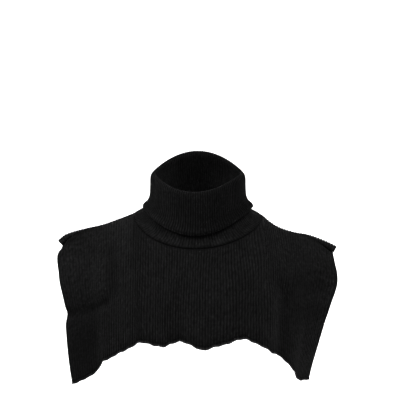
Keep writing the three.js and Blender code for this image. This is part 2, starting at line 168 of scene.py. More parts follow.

# The patterns on the knit. Each pair is the shade at a pattern's low and high end: from a rib's middle to its
# gap, which are painted light on the rib and painted shade in the gap round RIB_LEVEL, along the stitches'
# legs,
# and in the noises: dashes along the ribs, wide patches and small specks. A scale is how many swings of a
# noise go into a metre, and DASH_STRETCH makes a dash as long as some stitches.
RIB_LIGHT = (0.25, -0.38)
RIB_LEVEL = 0.93
STITCH_SHADE = (0.8, 1.15)
DASH_SHADE = (0.45, 1.55)
PATCH_SHADE = (0.85, 1.15)
SPECK_SHADE = (0.58, 1.42)
NOISE_SWING = (0.3, 0.7)
DASH_STRETCH = (1.0, 0.35, 1.0)
PATCH_SCALE = 45.0
SPECK_SCALE = 420.0

# The low relief of the stitches and the fuzz, how far the stitches' legs lean, and for the painted shade in
# the hollows, how near cloth has to be to keep light from a point, and how strongly that darkens the colour.
LEGS_RELIEF = 0.35
FUZZ_RELIEF = 1.2
FUZZ_SCALE = 1500.0
RELIEF_STRENGTH = 0.6
RELIEF_DEPTH = 0.0005
LEG_LEAN = 2.2
HOLLOW_REACH = 0.012
HOLLOW_STRENGTH = 2.0

# The floor: its colour, height, half width, near and far end, the radius of its bend into the backdrop and
# how far the backdrop goes on above that.
FLOOR_WHITE = (0.9, 0.9, 0.9, 1.0)
FLOOR_LEVEL = -0.95
FLOOR_HALF_WIDTH = 9.0
FLOOR_NEAR = -6.0
FLOOR_FAR = 5.0
FLOOR_BEND = 1.6
BEND_STEPS = 16
BACKDROP_RISE = 5.0

# The strength of the light from all round, and the lamps: name, place, aim, size and power.
WORLD_LIGHT = 0.42
LAMPS = (
    ("key", (-2.0, -1.1, 2.2), (0.0, 0.0, -0.05), 1.0, 74.0),
    ("fill", (1.5, -1.4, 2.8), (0.0, 0.0, -0.05), 1.2, 76.0),
    ("backdrop", (0.0, 2.8, 2.6), (0.0, 6.0, -0.4), 2.0, 420.0),
)

# The rings of the collar tube, from the neckline seam up over the fold and down to the free edge: how far out
# a ring lies at the sides, in front and at the back, how high it lies there, and how sharply it dips between.
RING_NAMES = ("along", "side", "front", "back", "side_up", "front_up", "back_up", "dip")
RINGS = (
    (0.0, 1.0, 1.0, 1.0, 0.02, -0.567, 0.2, 1.3),
    (0.1, 0.85, 0.953, 0.87, 0.075, -0.41, 0.33, 1.4),
    (0.205, 0.73, 0.885, 0.76, 0.27, -0.18, 0.55, 1.6),
    (0.31, 0.66, 0.841, 0.67, 0.5, 0.1, 0.8, 1.8),
    (0.42, 0.635, 0.841, 0.58, 0.75, 0.367, 1.067, 2.0),
    (0.5, 0.645, 0.865, 0.53, 0.917, 0.567, 1.283, 2.0),
    (0.555, 0.68, 0.915, 0.57, 0.98, 0.635, 1.38, 2.0),
    (0.61, 0.715, 0.965, 0.63, 0.9, 0.555, 1.3, 2.0),
    (0.7, 0.722, 0.97, 0.7, 0.7, 0.333, 1.067, 2.0),
    (0.81, 0.732, 0.958, 0.79, 0.48, 0.067, 0.8, 2.1),
    (0.905, 0.772, 0.965, 0.885, 0.34, -0.133, 0.57, 2.2),
    (0.96, 0.832, 0.987, 0.96, 0.262, -0.22, 0.487, 2.2),
    (1.0, 0.844, 0.968, 0.98, 0.2, -0.29, 0.42, 2.2),
)

# The shoulder seams, from a neck point out to the tip.
SHOULDER_NAMES = ("along", "out", "forward", "drop")
LEFT_SHOULDER = (
    (0.0, 0.0, 0.0, 0.0),
    (0.2, 0.188, 0.018, 0.042),
    (0.4, 0.386, 0.036, 0.088),
    (0.65, 0.634, 0.064, 0.132),
    (0.87, 0.832, 0.1, 0.188),
    (1.0, 0.916, 0.127, 0.25),
)
RIGHT_SHOULDER = (
    (0.0, 0.0, 0.0, 0.0),
    (0.12, 0.09, 0.01, 0.046),
    (0.25, 0.2, 0.022, 0.09),
    (0.42, 0.38, 0.038, 0.131),
    (0.65, 0.6, 0.064, 0.166),
    (0.87, 0.79, 0.1, 0.232),
    (1.0, 0.91, 0.127, 0.286),
)

# The hems, from the left side edge to the right one.
HEM_NAMES = ("across", "out", "depth", "drop")
FRONT_HEM = (
    (-1.0, -0.887, 0.364, 1.378),
    (-0.87, -0.781, 0.518, 1.314),
    (-0.78, -0.7, 0.618, 1.233),
    (-0.73, -0.67, 0.674, 1.182),
    (-0.69, -0.651, 0.714, 1.139),
    (-0.64, -0.611, 0.761, 1.113),
    (-0.53, -0.518, 0.86, 1.046),
    (-0.44, -0.438, 0.921, 0.981),
    (-0.38, -0.389, 0.942, 0.956),
    (-0.29, -0.293, 0.987, 0.974),
    (-0.22, -0.231, 1.024, 0.984),
    (-0.165, -0.183, 1.006, 0.955),
    (-0.105, -0.122, 0.984, 0.937),
    (-0.03, -0.047, 1.021, 0.969),
    (0.05, 0.035, 1.059, 1.002),
    (0.14, 0.13, 1.031, 0.976),
    (0.31, 0.308, 0.962, 0.929),
    (0.42, 0.411, 0.938, 0.972),
    (0.52, 0.495, 0.873, 1.041),
    (0.59, 0.558, 0.814, 1.076),
    (0.67, 0.61, 0.731, 1.14),
    (0.76, 0.662, 0.613, 1.231),
    (0.84, 0.691, 0.499, 1.314),
    (1.0, 0.784, 0.273, 1.358),
)
BACK_HEM = (
    (-1.0, -0.845, 0.327, 1.225),
    (-0.72, -0.706, 0.6, 1.163),
    (-0.45, -0.471, 0.8, 1.05),
    (-0.2, -0.214, 0.882, 1.006),
    (0.0, 0.0, 0.855, 1.019),
    (0.2, 0.214, 0.891, 1.006),
    (0.45, 0.46, 0.8, 1.044),
    (0.72, 0.631, 0.6, 1.137),
    (1.0, 0.749, 0.327, 1.2),
)

# How a column of knit starts at the top, from the middle (0) to a side edge (1).
TOP_NAMES = ("across", "rise", "out", "away", "down")
FRONT_TOP = (
    (0.0, 0.11, 0.0, 0.98, 0.04),
    (0.25, 0.07, 0.0, 0.94, 0.08),
    (0.46, 0.0, 0.0, 0.84, 0.16),
    (0.62, 0.0, 0.0, 0.78, 0.3),
    (0.78, 0.0, 0.0, 0.6, 0.44),
    (1.0, 0.0, 0.2, 0.26, 0.5),
)
BACK_TOP = (
    (0.0, 0.14, 0.0, 1.3, -0.46),
    (0.25, 0.09, 0.0, 1.2, -0.4),
    (0.46, 0.0, 0.0, 0.92, -0.1),
    (0.62, 0.0, 0.02, 0.86, -0.12),
    (0.8, 0.0, 0.12, 0.68, -0.34),
    (1.0, 0.0, 0.48, 0.3, -0.74),
)

# How a column of knit comes to the hem, from the left edge (-1) to the right (1).
BOTTOM_NAMES = ("across", "out", "inward", "up")
FRONT_BOTTOM = (
    (-1.0, 0.022, -0.036, 0.41),
    (-0.72, 0.005, 0.055, 0.45),
    (-0.45, -0.005, 0.055, 0.58),
    (-0.25, 0.0, 0.06, 0.52),
    (0.0, 0.0, 0.07, 0.53),
    (0.25, 0.0, 0.06, 0.52),
    (0.45, 0.0, 0.055, 0.58),
    (0.72, 0.04, 0.055, 0.45),
    (1.0, 0.13, -0.06, 0.5),
)
BACK_BOTTOM = (
    (-1.0, 0.07, -0.04, 0.37),
    (-0.72, 0.03, -0.05, 0.5),
    (-0.45, 0.0, 0.04, 0.8),
    (-0.25, 0.0, -0.01, 0.96),
    (0.0, 0.0, -0.04, 1.0),
    (0.25, 0.0, -0.01, 0.96),
    (0.45, 0.0, 0.04, 0.8),
    (0.72, 0.04, -0.05, 0.5),
    (1.0, 0.12, -0.04, 0.37),
)

# How far the side edges swing out from their plain curves on the way down, and where across that starts.
SIDES_NAMES = ("down", "left", "right")
FRONT_SIDES = (
    (0.0, 0.0, 0.0),
    (0.06, 0.002, -0.003),
    (0.11, 0.02, -0.002),
    (0.17, 0.021, 0.002),
    (0.22, 0.0155, 0.01),
    (0.28, 0.0085, 0.018),
    (0.35, 0.004, 0.023),
    (0.42, -0.005, 0.018),
    (0.5, -0.012, 0.006),
    (0.57, -0.009, -0.001),
    (0.65, 0.001, -0.008),
    (0.8, 0.009, -0.01),
    (0.92, 0.007, -0.008),
    (1.0, 0.0, 0.0),
)
BACK_SIDES = (
    (0.0, 0.0, 0.0),
    (0.12, 0.0, 0.0),
    (0.19, -0.011, -0.01),
    (0.25, -0.034, -0.016),
    (0.31, -0.055, -0.027),
    (0.38, -0.044, -0.018),
    (0.5, -0.025, -0.004),
    (0.62, -0.01, 0.0),
    (1.0, 0.0, 0.0),
)
SIDE_ZONE = 0.78

# Folds and dents: from across and down, to across and down, width, and push as a share of the bib's depth.
FRONT_FOLDS = (
    (-0.95, 0.36, -0.7, 0.5, 0.1, 0.025),
    (-1.0, 0.56, -0.66, 0.665, 0.03, -0.045),
    (-0.62, 0.35, -0.59, 0.66, 0.045, -0.024),
    (0.52, 0.72, 0.49, 1.0, 0.06, 0.04),
    (0.63, 0.62, 0.61, 1.0, 0.07, -0.045),
    (0.9, 0.44, 0.62, 0.56, 0.06, -0.022),
)
BACK_FOLDS = (
    (-0.6, 0.5, -0.55, 1.0, 0.1, 0.04),
    (0.35, 0.45, 0.4, 1.0, 0.1, 0.035),
)

# Painted shadows where the front hangs in its own shade: across and down, half width and half height, and how
# dark.
FRONT_SHADOWS = (
    (-0.92, 0.95, 0.26, 0.32, 0.6),
    (-0.8, 0.76, 0.18, 0.14, 0.25),
    (-0.6, 0.48, 0.06, 0.2, 0.25),
    (-0.76, 0.02, 0.18, 0.12, 0.3),
    (-0.96, 0.03, 0.05, 0.05, 0.4),
    (-0.9, 0.07, 0.06, 0.025, 0.5),
    (-0.45, 0.1, 0.06, 0.14, 0.3),
    (-0.95, 0.52, 0.1, 0.08, 0.2),
    (0.8, 0.62, 0.16, 0.08, 0.2),
    (0.88, 0.98, 0.12, 0.14, 0.4),
    (0.7, 0.9, 0.06, 0.16, 0.25),
)


def make_camera():
    """The camera at the photo's viewing angle, with the photo's width in millimetres at LOOK_AT."""
    data = bpy.data.cameras.new("camera")
    data.sensor_width = 36.0
    data.lens = data.sensor_width * CAMERA_DISTANCE / (MM_PER_PIXEL * MM * PICTURE)
    data.clip_start = 0.1
    data.clip_end = 60.0
    camera = bpy.data.objects.new("camera", data)
    back = Vector((0.0, -math.cos(CAMERA_ELEVATION), math.sin(CAMERA_ELEVATION)))
    camera.location = LOOK_AT + CAMERA_DISTANCE * back
    camera.rotation_euler = (-back).to_track_quat("-Z", "Y").to_euler()
    bpy.context.scene.collection.objects.link(camera)
    bpy.context.scene.camera = camera


def read_smooth(names, rows, name, place):
    """A column of a table at any places, on a smooth curve through its rows."""
    x = np.array([row[0] for row in rows])
    y = np.array([row[names.index(name)] for row in rows])
    before = np.maximum(np.arange(len(x)) - 1, 0)
    after = np.minimum(np.arange(len(x)) + 1, len(x) - 1)
    slope = (y[after] - y[before]) / (x[after] - x[before])
    at = np.clip(place, x[0], x[-1])
    i = np.clip(np.searchsorted(x, at, side="left") - 1, 0, len(x) - 2)
    span = x[i + 1] - x[i]
    t = (at - x[i]) / span
    start = (2 * t**3 - 3 * t**2 + 1) * y[i] + (t**3 - 2 * t**2 + t) * span * slope[i]
    end = (3 * t**2 - 2 * t**3) * y[i + 1] + (t**3 - t**2) * span * slope[i + 1]
    return start + end


def smoothstep(value, low, high):
    """Zero up to low and one from high on, with a smooth rise between them."""
    t = np.clip((value - low) / (high - low), 0.0, 1.0)
    return t * t * (3 - 2 * t)


def hump(distance, centre, width):
    """A smooth hump: one at its centre, and gone about two widths away."""
    return np.exp(-(((distance - centre) / width) ** 2))


def unit(vectors):
    """The same directions, each with length one."""
    return vectors / np.linalg.norm(vectors, axis=-1, keepdims=True)


def collar_point(along, angle):
    """Points of the collar's middle surface. The angle is 0 at the right neck point, 90 degrees in front."""
    along, angle = np.broadcast_arrays(along, angle)
    read = lambda name: read_smooth(RING_NAMES, RINGS, name, along)
    forward = np.sin(angle)
    side = read("side") * NECK_HALF_WIDTH
    front = -read("front") * NECK_FRONT
    back = read("back") * NECK_BACK
    side_up = read("side_up") * COLLAR_HEIGHT
    end_up = np.where(forward >= 0, read("front_up"), read("back_up")) * COLLAR_HEIGHT
    lean = np.where(forward > 0, NECKLINE_LEAN * forward * np.cos(angle), 0.0)
    drop = RIGHT_NECK_DROP * ((1 + np.cos(angle)) / 2 * (1 - along)) ** 2
    x = side * np.cos(angle)
    y = (front + back) / 2 - (back - front) / 2 * forward
    z = side_up + (end_up - side_up) * np.abs(forward) ** read("dip") + lean - drop
    return np.stack([x, y, z], axis=-1)


def neckline_frame(angle):
    """The neckline seam at angles: its points, the way out of the collar and the outer side."""
    step = 0.001
    point = collar_point(0.0, angle)
    away = point - collar_point(0.03, angle)
    tangent = unit(collar_point(0.0, angle + step) - collar_point(0.0, angle - step))
    outer = unit(np.cross(tangent, away))
    return point, np.cross(outer, tangent), outer


def shoulder_point(hand, along):
    """Points of a shoulder seam, from the neck point (0) to the tip (1). Hand is -1 left and 1 right."""
    rows = LEFT_SHOULDER if hand < 0 else RIGHT_SHOULDER
    read = lambda name: read_smooth(SHOULDER_NAMES, rows, name, along)
    neck_point = collar_point(0.0, math.pi if hand < 0 else 0.0)
    x = neck_point[0] + hand * read("out") * (BIB_HALF_WIDTH - NECK_HALF_WIDTH)
    y = neck_point[1] - read("forward") * BIB_DEPTH
    z = neck_point[2] - read("drop") * BIB_DROP
    return np.stack([x, y, z], axis=-1)


def top_run(face, across):
    """How far and which way a column of knit first runs at its top. Face is -1 front and 1 back."""
    rows = FRONT_TOP if face < 0 else BACK_TOP
    read = lambda name: read_smooth(TOP_NAMES, rows, name, np.abs(across)) * SHOULDER_REACH
    return np.stack([np.sign(across) * read("out"), face * read("away"), -read("down")], axis=-1)


def shoulder_across(hand, along):
    """Where across the bib the columns at places along a shoulder lie."""
    neck_share = NECK_HALF_WIDTH / BIB_HALF_WIDTH
    return hand * (neck_share + (1 - neck_share) * along)


def shoulder_frame(hand, along):
    """A shoulder seam at places: its points, the way towards the back bib and the outer side."""
    step = 0.001
    point = shoulder_point(hand, along)
    after = shoulder_point(hand, np.minimum(along + step, 1.0))
    before = shoulder_point(hand, np.maximum(along - step, 0.0))
    tangent = unit(after - before)
    across = shoulder_across(hand, along)
    spread = unit(top_run(1, across)) - unit(top_run(-1, across))
    outer = unit(np.cross(tangent, spread) * hand)
    neck_outer = neckline_frame(math.pi if hand < 0 else 0.0)[2]
    blend_end = 0.15
    near_neck = 1 - smoothstep(along, 0.0, blend_end)[..., None]
    outer = unit(outer + (neck_outer - outer) * near_neck)
    return point, unit(np.cross(outer, tangent) * hand), outer


def hem_end(face, across):
    """The bottom of columns: their points on the hem, and their last control points above it."""
    hem_rows = FRONT_HEM if face < 0 else BACK_HEM
    run_rows = FRONT_BOTTOM if face < 0 else BACK_BOTTOM
    hem = lambda name: read_smooth(HEM_NAMES, hem_rows, name, across)
    run = lambda name: read_smooth(BOTTOM_NAMES, run_rows, name, across)
    x = hem("out") * BIB_HALF_WIDTH
    y = face * hem("depth") * BIB_DEPTH
    z = -hem("drop") * BIB_DROP
    out = np.sign(across) * run("out") * BIB_HALF_WIDTH
    inward = -face * run("inward") * BIB_DEPTH
    up = run("up") * BIB_DROP
    end = np.stack([x, y, z], -1)
    return end, end + np.stack([out, inward, up], -1)


def bezier(points, place):
    """Points on cubic curves, one for each row of the four control points, at one place or several."""
    a, b, c, d = points
    t = np.asarray(place)[..., None]
    return (1 - t) ** 3 * a + 3 * (1 - t) ** 2 * t * b + 3 * (1 - t) * t**2 * c + t**3 * d


def column_curve(face, across, top):
    """The four control points of columns that start at the given tops."""
    end, above = hem_end(face, across)
    return top, top + top_run(face, across), above, end


def shoulder_columns(face, hand, along):
    """Columns that start at a shoulder seam, just past it."""
    point, back, outer = shoulder_frame(hand, along)
    across = shoulder_across(hand, along)
    top = point - back * face * SEAM_LAP / 2
    start = np.zeros(len(along))
    return across, outer, start, np.zeros((len(along), 3)), column_curve(face, across, top)


def neck_columns(face, hand, turn):
    """Columns that the neckline cuts off. Turn is 0 at a neck point and 90 degrees in the middle.

    Each has its full curve from above the neckline, the place on it where the cloth starts, found by halving,
    and how far the seam lies from there.
    """
    neck_point = collar_point(0.0, math.pi if hand < 0 else 0.0)
    across = hand * np.cos(turn) * NECK_HALF_WIDTH / BIB_HALF_WIDTH
    rows = FRONT_TOP if face < 0 else BACK_TOP
    rise = read_smooth(TOP_NAMES, rows, "rise", np.abs(across)) * BIB_DROP
    level = np.ones(len(turn))
    above_neck = np.stack([across * BIB_HALF_WIDTH, neck_point[1] * level, neck_point[2] + rise], -1)
    curve = column_curve(face, across, above_neck)
    point, out, outer = neckline_frame(-face * (math.pi - turn if hand < 0 else turn))
    top = point - out * SEAM_LAP
    lowest_start = 0.8
    halvings = 30
    low = np.zeros(len(turn))
    high = np.full(len(turn), lowest_start)
    for _ in range(halvings):
        middle = (low + high) / 2
        short = face * (top[:, 1] - bezier(curve, middle)[:, 1]) > 0
        low = np.where(short, middle, low)
        high = np.where(short, high, middle)
    start = (low + high) / 2
    return across, outer, start, top - bezier(curve, start), curve


def neck_turns():
    """Angles from just beside a neck point to the middle, so close that each rib gets its samples."""
    widest = RIB_PITCH / BIB_SAMPLES
    longest_step = math.radians(3.0)
    ahead = 0.01
    turns = [SEAM_LAP / 2 / (NECK_FRONT + NECK_BACK)]
    while turns[-1] < math.pi / 2:
        step = widest / (NECK_HALF_WIDTH * math.sin(turns[-1] + ahead))
        turns.append(turns[-1] + min(step, longest_step))
    turns = np.array(turns)
    return turns * (math.pi / 2) / turns[-1]


def bib_columns(face):
    """All columns of a bib, from its left side edge to its right one, with extra ones at the edges.

    For each column: where across it lies, the outer side at its top, the place where it starts on its curve,
    the shift of its top and the curve.
    """
    count = round((BIB_HALF_WIDTH - NECK_HALF_WIDTH) * BIB_SAMPLES / RIB_PITCH)
    along = np.linspace(0.0, 1.0, count + 1)[1:-1]
    along = np.concatenate([along, 1 - EDGE_STEPS / (BIB_HALF_WIDTH - NECK_HALF_WIDTH)])
    along = np.sort(along)
    turns = neck_turns()
    parts = [
        shoulder_columns(face, -1, along[::-1]),
        neck_columns(face, -1, turns),
        neck_columns(face, 1, turns[-2::-1]),
        shoulder_columns(face, 1, along),
    ]
    across, outer, start, shift = (np.concatenate([part[k] for part in parts]) for k in range(4))
    curve = [np.concatenate([part[4][k] for part in parts]) for k in range(4)]
    return across, outer, start, shift, curve


def side_swing(face, across, down):
    """How far the cloth near a side edge swings out at places across and down."""
    rows = FRONT_SIDES if face < 0 else BACK_SIDES
    left = read_smooth(SIDES_NAMES, rows, "left", down)
    right = read_smooth(SIDES_NAMES, rows, "right", down)
    reach = np.where(across < 0, left, right) * BIB_HALF_WIDTH
    return np.sign(across) * reach * smoothstep(np.abs(across), SIDE_ZONE, 1.0)


def fold_push(folds, across, down):
    """How far the folds push the cloth out, or in where it is negative, at places across and down."""
    flat_top = 0.3
    tall = BIB_DROP / BIB_HALF_WIDTH
    push = np.zeros(np.broadcast(across, down).shape)
    for from_across, from_down, to_across, to_down, width, depth in folds:
        run_across = to_across - from_across
        run_down = (to_down - from_down) * tall
        past_across = across - from_across
        past_down = (down - from_down) * tall
        share = (past_across * run_across + past_down * run_down) / (run_across**2 + run_down**2)
        share = np.clip(share, 0.0, 1.0)
        apart = np.hypot(past_across - share * run_across, past_down - share * run_down)
        push += depth * BIB_DEPTH * hump(apart, 0.0, width)
    return push * smoothstep(down, 0.0, flat_top)


def grid_normals(grid, closed, sign):
    """The outer side at each point of a grid, from the faces that meet there."""
    if closed:
        grid = np.concatenate([grid, grid[:1]])
    first = grid[1:, 1:] - grid[:-1, :-1]
    second = grid[:-1, 1:] - grid[1:, :-1]
    face = np.cross(second, first) * sign
    normals = np.zeros_like(grid)
    normals[:-1, :-1] += face
    normals[1:, :-1] += face
    normals[:-1, 1:] += face
    normals[1:, 1:] += face
    if closed:
        normals[0] += normals[-1]
        normals = normals[:-1]
    return unit(normals)


def edge_round(distance):
    """The share of the wall's thickness that is left so near to an edge. It never ends in a knife edge."""
    least = 0.03
    radius = EDGE_STEPS[-1]
    inside = np.clip(1 - distance / radius, 0.0, 1.0)
    return np.sqrt(np.maximum(1 - inside**2, least))


def face_corners(field):
    """The four corners of every face of a grid."""
    return field[:-1, :-1], field[:-1, 1:], field[1:, 1:], field[1:, :-1]


def strip_corners(outer_edge, inner_edge):
    """The four corners of every face that closes a wall along one of its edges."""
    return inner_edge[:-1], outer_edge[:-1], outer_edge[1:], inner_edge[1:]


def wall_faces(outer, inner, closed, sign):
    """All faces of a wall, for its points or for one of its UV maps: outer side, inner side and edges."""
    groups = [
        (face_corners(outer), sign),
        (face_corners(inner), -sign),
        (strip_corners(outer[:, 0], inner[:, 0]), sign),
        (strip_corners(outer[:, -1], inner[:, -1]), -sign),
    ]
    if not closed:
        groups.append((strip_corners(outer[0], inner[0]), -sign))
        groups.append((strip_corners(outer[-1], inner[-1]), sign))
    faces = []
    for corners, turn in groups:
        order = (0, 1, 2, 3) if turn > 0 else (0, 3, 2, 1)
        flat = [corners[k].reshape(-1, *outer.shape[2:]) for k in order]
        faces.append(np.stack(flat, axis=1))
    return np.concatenate(faces)


def bake_map(columns, rows, closed):
    """Each point's place in the upper half of a square. A tube's first column comes again at its end."""
    margin = 0.01
    last = columns if closed else columns - 1
    u = np.arange(last + 1) / last
    v = np.arange(rows) / (rows - 1)
    across = margin + (1 - 2 * margin) * u[:, None]
    up = 0.5 + margin + (0.5 - 2 * margin) * v[None, :]
    return np.stack(np.broadcast_arrays(across, up), -1)


def new_piece(name, points, faces, uv_maps):
    """A piece of the scene from its points and faces, smooth all over, with its UV maps."""
    mesh = bpy.data.meshes.new(name)
    mesh.from_pydata(points.tolist(), [], faces.tolist())
    for map_name, values in uv_maps.items():
        layer = mesh.uv_layers.new(name=map_name)
        layer.data.foreach_set("uv", values.reshape(-1).astype(np.float32))
    mesh.polygons.foreach_set("use_smooth", np.ones(len(faces), dtype=bool))
    mesh.validate()
    mesh.update()
    piece = bpy.data.objects.new(name, mesh)
    bpy.context.scene.collection.objects.link(piece)
    return piece


def wall_mesh(name, grid, normals, half, wave, closed, sign, knit_uv, painted_light_uv):
    """A wall with both sides and all edges round a grid of points, which is closed when it is a tube.

    Half is half the thickness, and wave moves both sides out together. The Knit map counts ribs and courses,
    the map of painted light holds the painted light and shade on the knit and how strongly the painted shade
    of its ribs shows, and OFBake gives each side its own half of a square.
    """
    columns, rows = grid.shape[:2]
    outer_points = grid + normals * (wave + half)[..., None]
    inner_points = grid + normals * (wave - half)[..., None]
    points = np.concatenate([outer_points.reshape(-1, 3), inner_points.reshape(-1, 3)]) * MM
    index = np.arange(columns * rows).reshape(columns, rows)
    bake_uv = bake_map(columns, rows, closed)
    if closed:
        index = np.concatenate([index, index[:1]])
        knit_uv = np.concatenate([knit_uv, knit_uv[:1] + np.array([COLLAR_RIBS, 0.0])])
        painted_light_uv = np.concatenate([painted_light_uv, painted_light_uv[:1]])
    faces = wall_faces(index, index + columns * rows, closed, sign)
    uv_maps = {
        "Knit": wall_faces(knit_uv, knit_uv, closed, sign),
        "Tone": wall_faces(painted_light_uv, painted_light_uv, closed, sign),
        "OFBake": wall_faces(bake_uv, bake_uv - np.array([0.0, 0.5]), closed, sign),
    }
    return new_piece(name, points, faces, uv_maps)


def distances(grid, axis):
    """How far each point of a grid lies from the first along one of its axes."""
    step = np.linalg.norm(np.diff(grid, axis=axis), axis=-1)
    zero = np.zeros_like(np.take(step, [0], axis=axis))
    return np.cumsum(np.concatenate([zero, step], axis=axis), axis=axis)


def unevenness(ribs, courses):
    """A slow, smooth wander from -1 to 1 over the knit, from waves that never line up."""
    total = np.sin(0.31 * ribs + 0.9 * np.sin(0.023 * courses))
    total = total + np.sin(0.71 * ribs - 0.067 * courses + 1.3)
    return (total + np.sin(0.17 * ribs + 0.11 * courses + 4.0)) / 3


def rib_wave(ribs, courses):
    """How far a rib stands out, where ribs counts them across. Each rib is round and each gap narrow."""
    change = RIB_CHANGE * unevenness(RIB_CHANGE_PACE * ribs, courses)
    across_rib = np.abs(np.cos(math.pi * ribs)) ** RIB_TOP
    return RIB_DEPTH * (1 + change) * (across_rib * 2 - 1)


def knit_wave(ribs, courses, to_seam, to_edge, tightness, fullness):
    """The relief of the ribs, times their fullness, and of the seam, which pinches in by its tightness.

    The ribs run out at the seam and at the free edge.
    """
    run_out = smoothstep(to_edge, *EDGE_RISE) * smoothstep(to_seam, *SEAM_RISE)
    pinch = SEAM_PINCH * tightness * hump(to_seam, 0.0, PINCH_WIDTH + PINCH_SPREAD * tightness)
    return fullness * rib_wave(ribs, courses) * run_out - pinch


def hem_wave(to_hem):
    """A hem that curls out below its welt line."""
    curl = HEM_CURL * (1 - smoothstep(to_hem, 0.0, WELT))
    return curl - WELT_GROOVE * hump(to_hem, WELT, GROOVE_WIDTH)


def rib_drift(across, down):
    """How far the ribs right of the neck drift outward on their way down the front."""
    share = smoothstep(across, *DRIFT_IN) * (1 - smoothstep(across, *DRIFT_OUT))
    return RIB_DRIFT * share * smoothstep(down, *DRIFT_DOWN)


def rib_fullness(face, across):
    """How full the ribs are: on the front they lie flatter towards the side edges."""
    flat = FLAT_SIDES if face < 0 else 0.0
    return 1 - flat * smoothstep(np.abs(across), *FLAT_IN)


def hem_painted_light(ribs, to_hem):
    """Painted light and shade near a hem: painted highlights on the lip and the band, painted shade along the
    welt, and dimmer just above it.
    """
    lip = LIP_PAINTED_HIGHLIGHT * hump(to_hem, 0.0, LIP_WIDTH)
    band = BAND_PAINTED_HIGHLIGHT * (1 + unevenness(BAND_PACE * ribs, 0.0)) * (1 - smoothstep(to_hem, 0.0, WELT))
    line = WELT_SHADE * hump(to_hem, WELT, WELT_SHADE_WIDTH)
    strip = STRIP_SHADE * hump(to_hem, WELT + STRIP_WIDTH, STRIP_WIDTH)
    return 1 + lip + band - line - strip


def seam_painted_shade(to_seam):
    """Painted shade near a seam, darkest in its pinch."""
    return 1 - SEAM_SHADE * hump(to_seam, 0.0, SEAM_SHADE_WIDTH)


def painted_shadows(shadows, across, down):
    """How light the cloth is, with painted shadows from a table taken away where it sags away from the light.
    """
    painted_light = np.ones(np.broadcast(across, down).shape)
    for at_across, at_down, wide, tall, depth in shadows:
        apart = np.hypot((across - at_across) / wide, (down - at_down) / tall)
        painted_light -= depth * hump(apart, 0.0, 1.0)
    return painted_light


def seam_tightness(across):
    """How tight the seam at the top of a column is: tight at the neckline, tightest at a shoulder's tip."""
    blend = 0.06
    neck_share = NECK_HALF_WIDTH / BIB_HALF_WIDTH
    on_shoulder = smoothstep(np.abs(across), neck_share, neck_share + blend)
    at_tip = smoothstep(np.abs(across), *TIP_ZONE)
    slack = (1 - SHOULDER_TIGHTNESS) * on_shoulder * (1 - at_tip)
    return 1 - slack + (TIP_TIGHTNESS - 1) * at_tip


def row_places(long, rows, end_steps):
    """Where rows of points lie along a length, as shares of it: close at both ends and even between them."""
    first_rows = EDGE_STEPS / long
    last_rows = 1 - end_steps / long
    plain_rows = np.linspace(0.0, 1.0, rows)
    between = (plain_rows > first_rows.max()) & (plain_rows < last_rows.min())
    return np.unique(np.concatenate([first_rows, plain_rows[between], last_rows]))


def bib_surface(face, rows, folds):
    """A bib's middle surface: places across and down, the points, their outer side and the folds' push."""
    across, outer, start, shift, curve = bib_columns(face)
    tall = np.max(np.linalg.norm(curve[3] - curve[0], axis=-1))
    across = across[:, None]
    start = start[:, None]
    down = row_places(tall, rows, HEM_STEPS)[None, :]
    place = start + (1 - start) * down
    ragged = HEM_RAGGED * unevenness(RAGGED_PACE * across * BIB_HALF_WIDTH / RIB_PITCH, 0.0)
    place = place + ragged / tall * smoothstep(down, RAGGED_FROM, 1.0)
    plain = bezier([point[:, None, :] for point in curve], place)
    plain += shift[:, None, :] * (1 - down[..., None]) ** 2
    plain[..., 0] += side_swing(face, across, down)
    push = fold_push(folds, across, down)
    grid = plain + grid_normals(plain, False, -face) * push[..., None]
    normals = grid_normals(grid, False, -face)
    normals[:, 0] = outer
    return across, down, grid, normals, push


def bib_knit(face, across, down, length):
    """The count of ribs from a bib's middle and of courses from its top, at each of its points."""
    courses = length / STITCH_HEIGHT
    ribs = across * BIB_HALF_WIDTH / RIB_PITCH
    if face < 0:
        ribs = ribs - rib_drift(across, down) / RIB_PITCH
    return ribs + RIB_WANDER * unevenness(ribs, courses), courses


def make_bib(name, face, rows, folds, shadows):
    """A bib: each column of knit is one curve from its top to the hem, with ribs, a round hem and a welt."""
    across, down, grid, normals, push = bib_surface(face, rows, folds)
    length = distances(grid, 1)
    to_hem = length[:, -1:] - length
    width = distances(grid, 0)
    to_side = np.minimum(width, width[-1:] - width)
    tightness = seam_tightness(across)
    top_round = 1 - np.minimum(tightness, 1.0) * (1 - edge_round(length))
    half = WALL_LEFT / 2 * top_round * edge_round(to_hem) * edge_round(to_side)
    ribs, courses = bib_knit(face, across, down, length)
    # Painted shadows where the front sags away from the light; they also flatten the ribs there.
    shade = painted_shadows(shadows, across, down)
    fullness = shade * rib_fullness(face, across)
    wave = knit_wave(ribs, courses, length, to_hem, tightness, fullness) + hem_wave(to_hem)
    wave = wave * smoothstep(to_side, 0.0, 1.0)
    # Creases get painted shade and ridges a painted highlight, by how far they are pushed.
    painted_crease_light = 1 + CREASE_SHADE * push / BIB_DEPTH
    painted_light = hem_painted_light(ribs, to_hem) * seam_painted_shade(length) * shade * painted_crease_light
    knit_uv = np.stack([ribs, courses], -1)
    # The map of painted light holds the bib's painted light and shade, and how strongly its ribs' painted
    # shade shows.
    painted_light_uv = np.stack([painted_light, fullness], -1)
    return wall_mesh(name, grid, normals, half, wave, False, -face, knit_uv, painted_light_uv)


